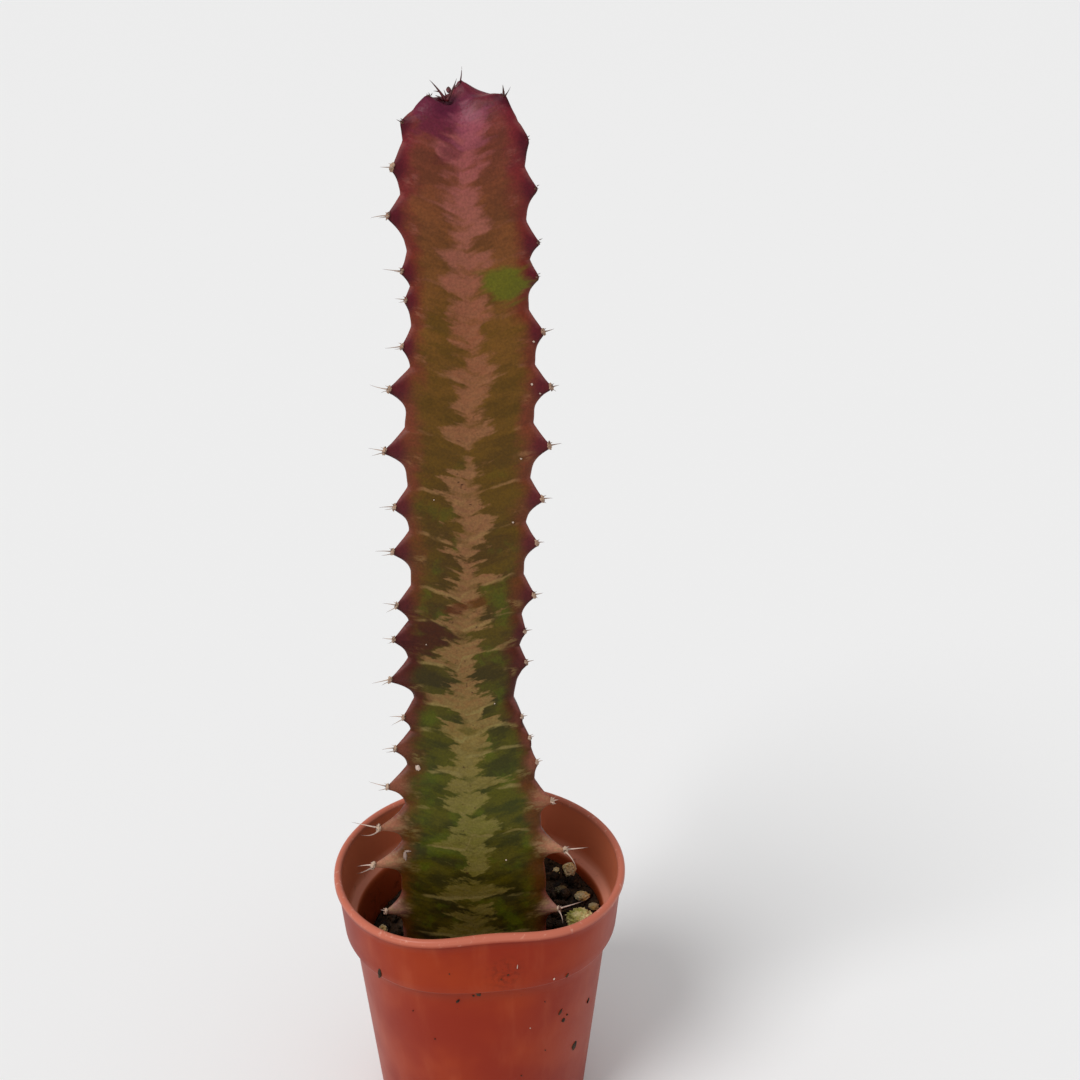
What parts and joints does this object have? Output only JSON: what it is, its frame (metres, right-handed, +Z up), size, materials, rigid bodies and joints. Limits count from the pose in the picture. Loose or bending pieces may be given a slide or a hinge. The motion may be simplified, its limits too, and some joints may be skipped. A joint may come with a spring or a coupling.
{
  "type": "potted euphorbia",
  "caption": "Potted live succulent: a tall ribbed stem with toothed edges and paired spines, rooted in a small round collared nursery pot with compost and grit.",
  "frame": {"origin": "centre of the pot's foot, on the surface the pot stands on", "axes": "+Z up along the pot's axis and the stem; -Y is the front, the side with one flat stem face and the pot's pushed-in rim; +X to the right seen from the front"},
  "size_m": [0.055, 0.0517, 0.1989],
  "materials": {
    "pot_plastic": "satin",
    "potting_soil": "matte",
    "stem_skin": "satin",
    "young_leaf_skin": "satin",
    "pumice": "matte",
    "bark": "matte",
    "mossy_grit": "matte"
  },
  "bodies": {
    "root": {"pot": "pot_plastic", "soil": "potting_soil", "stem": "stem_skin", "young_leaf_1": "young_leaf_skin", "young_leaf_2": "young_leaf_skin", "young_leaf_3": "young_leaf_skin", "pumice_grain_1": "pumice", "pumice_grain_2": "pumice", "pumice_grain_3": "pumice", "pumice_grain_4": "pumice", "pumice_grain_5": "pumice", "pumice_grain_6": "pumice", "pumice_grain_7": "pumice", "pumice_grain_8": "pumice", "pumice_grain_9": "pumice", "pumice_grain_10": "pumice", "pumice_grain_11": "pumice", "pumice_grain_12": "pumice", "pumice_grain_13": "pumice", "bark_chip_1": "bark", "bark_chip_2": "bark", "bark_chip_3": "bark", "bark_chip_4": "bark", "moss_clump": "mossy_grit"}
  },
  "joints": []
}
